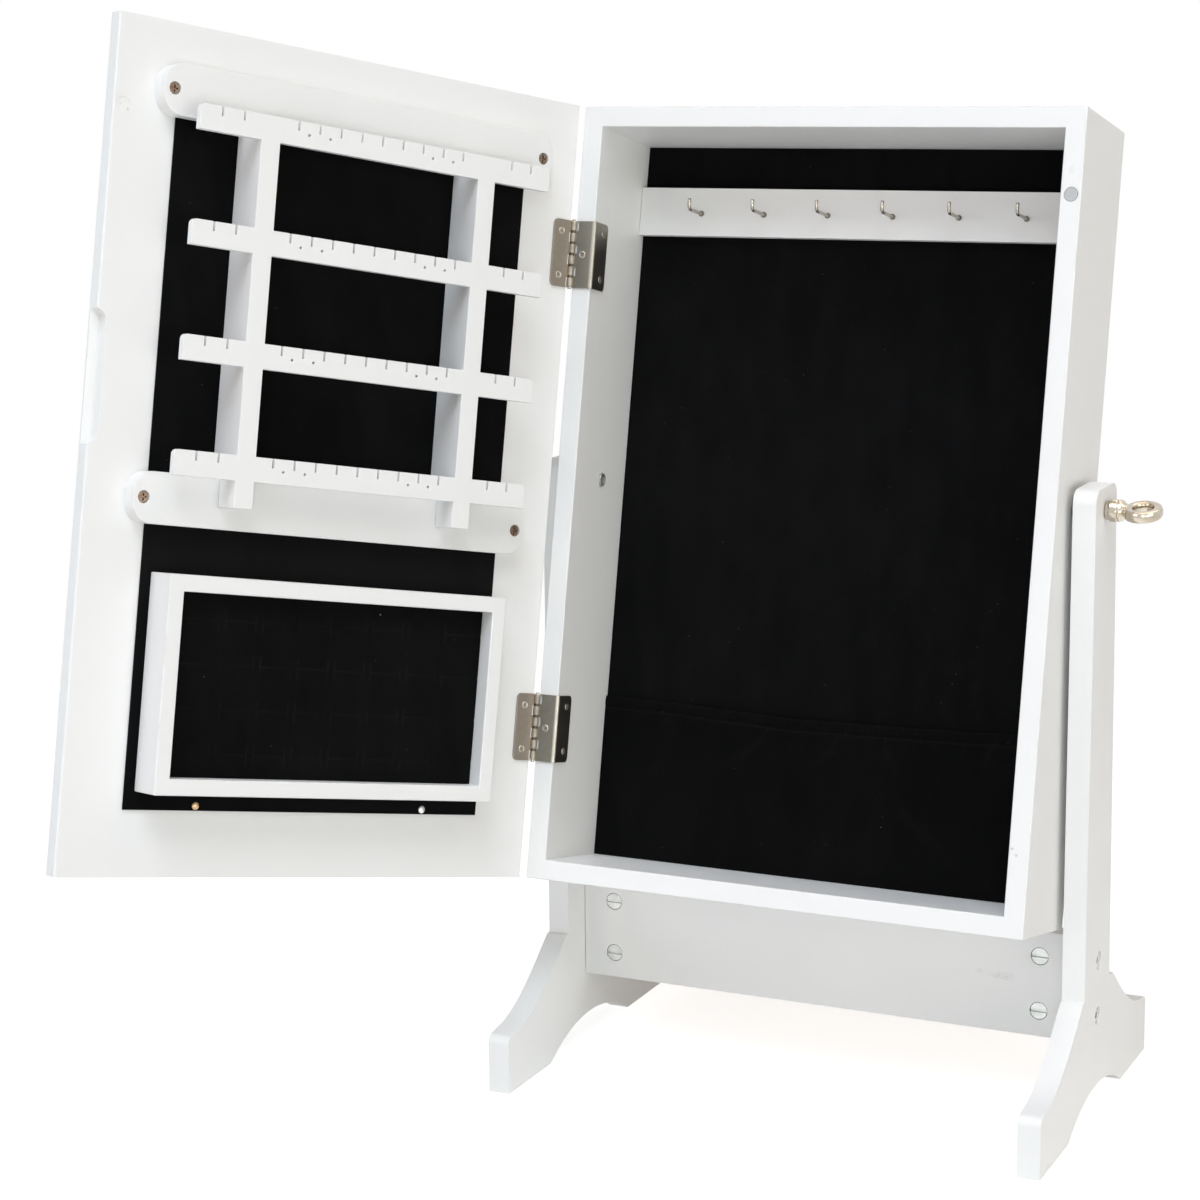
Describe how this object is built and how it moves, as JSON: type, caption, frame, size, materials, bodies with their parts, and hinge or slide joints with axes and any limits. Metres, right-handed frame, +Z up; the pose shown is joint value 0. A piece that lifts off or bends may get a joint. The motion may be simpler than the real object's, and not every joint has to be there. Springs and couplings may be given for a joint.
{
  "type": "tabletop jewelry armoire",
  "caption": "Small tilting jewelry cabinet on a two-sided table stand, with a mirror door that opens to velvet lining, necklace hooks, earring strips and a ring pad.",
  "frame": {"origin": "under the middle of the bounding box at rest, on the surface that the feet stand on", "axes": "+Z up, +X to the right of someone facing the cabinet, -Y towards the front"},
  "size_m": [0.533, 0.4984, 0.667],
  "materials": {
    "white_paint": "satin white paint on fibreboard",
    "black_velvet": "short flocked pile",
    "nickel": "satin nickel plate",
    "zinc": "zinc plate",
    "brass": "bright",
    "mirror": "silvered",
    "black_plastic": "moulded"
  },
  "bodies": {
    "stand": {"left_upright": "white_paint", "right_upright": "white_paint", "left_spacer_washer": "black_plastic", "right_spacer_washer": "black_plastic", "left_lower_barrel_nut": "zinc", "left_upper_barrel_nut": "zinc", "right_lower_barrel_nut": "zinc", "right_upper_barrel_nut": "zinc", "left_lower_connector_bolt": "zinc", "left_upper_connector_bolt": "zinc", "right_lower_connector_bolt": "zinc", "right_upper_connector_bolt": "zinc", "stretcher": "white_paint"},
    "cabinet": {"left_side_board": "white_paint", "right_side_board": "white_paint", "bottom_board": "white_paint", "top_board": "white_paint", "back_panel": "white_paint", "back_velvet": "black_velvet", "velvet_pocket": "black_velvet", "hook_bar": "white_paint", "necklace_hook_1": "nickel", "necklace_hook_2": "nickel", "necklace_hook_3": "nickel", "necklace_hook_4": "nickel", "necklace_hook_5": "nickel", "necklace_hook_6": "nickel", "door_magnet": "zinc", "left_threaded_insert": "zinc", "right_threaded_insert": "zinc", "lower_cabinet_hinge_leaf": "nickel", "upper_cabinet_hinge_leaf": "nickel", "lower_hinge_pin": "nickel", "upper_hinge_pin": "nickel"},
    "door": {"door_board": "white_paint", "mirror_pane": "mirror", "door_lining": "black_velvet", "strike_plate": "zinc", "lower_rail": "white_paint", "upper_rail": "white_paint", "lower_rail_screw_hinge_side": "zinc", "lower_rail_screw_free_side": "zinc", "upper_rail_screw_hinge_side": "zinc", "upper_rail_screw_free_side": "zinc", "hinge_side_post": "white_paint", "free_side_post": "white_paint", "earring_strip_1": "white_paint", "earring_strip_2": "white_paint", "earring_strip_3": "white_paint", "earring_strip_4": "white_paint", "ring_box_frame": "white_paint", "ring_pad": "black_velvet", "lining_screw_1": "zinc", "lining_screw_2": "brass", "lower_door_hinge_leaf": "nickel", "upper_door_hinge_leaf": "nickel"},
    "left_knob": {"left_ring_knob": "nickel"},
    "right_knob": {"right_ring_knob": "nickel"}
  },
  "joints": [
    {"name": "cabinet_tilt", "type": "hinge", "parent": "stand", "child": "cabinet", "pos_m": [0.05458, 0.11965, 0.3755], "axis": [-1, 0, 0], "range_deg": [-11.9, 8.1]},
    {"name": "door_swing", "type": "hinge", "parent": "cabinet", "child": "door", "pos_m": [-0.10652, 0.07735, 0.37287], "axis": [0, -0.2062, -0.9785], "range_deg": [-117.8, 62.2]},
    {"name": "left_knob_turn", "type": "hinge", "parent": "stand", "child": "left_knob", "pos_m": [-0.12392, 0.11965, 0.3755], "axis": [-1, 0, 0], "range_deg": [0, 360]},
    {"name": "right_knob_turn", "type": "hinge", "parent": "stand", "child": "right_knob", "pos_m": [0.23308, 0.11965, 0.3755], "axis": [1, 0, 0], "range_deg": [0, 360]}
  ]
}
